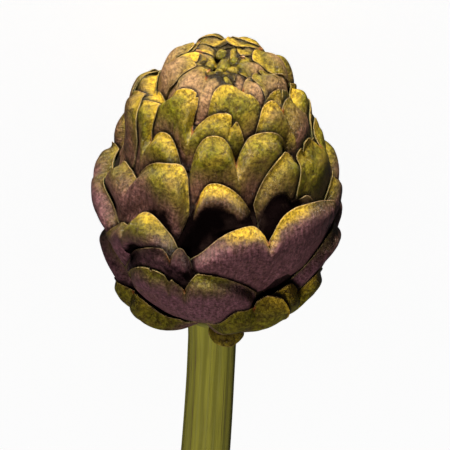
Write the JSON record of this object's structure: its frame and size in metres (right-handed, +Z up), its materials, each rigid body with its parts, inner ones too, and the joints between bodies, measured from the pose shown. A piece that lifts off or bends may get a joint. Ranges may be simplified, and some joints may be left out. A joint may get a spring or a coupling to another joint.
{
  "type": "globe artichoke",
  "caption": "Purple globe artichoke as picked: a round bud of overlapping notched bracts on a short ribbed stem, lying on its side.",
  "frame": {"origin": "middle of the small flat spot on the bud that the artichoke rests on", "axes": "+Z up from the surface, +Y along the stem's axis towards the bud's apex"},
  "size_m": [0.0963, 0.1956, 0.0941],
  "materials": {
    "bracts": "smooth leathery skin, dusty violet over olive green, with golden tips and papery margins",
    "stem": "fibrous ribbed skin, olive green with grey-green and brown streaks"
  },
  "bodies": {
    "root": {"head": "bracts", "stem": "stem"}
  },
  "joints": []
}
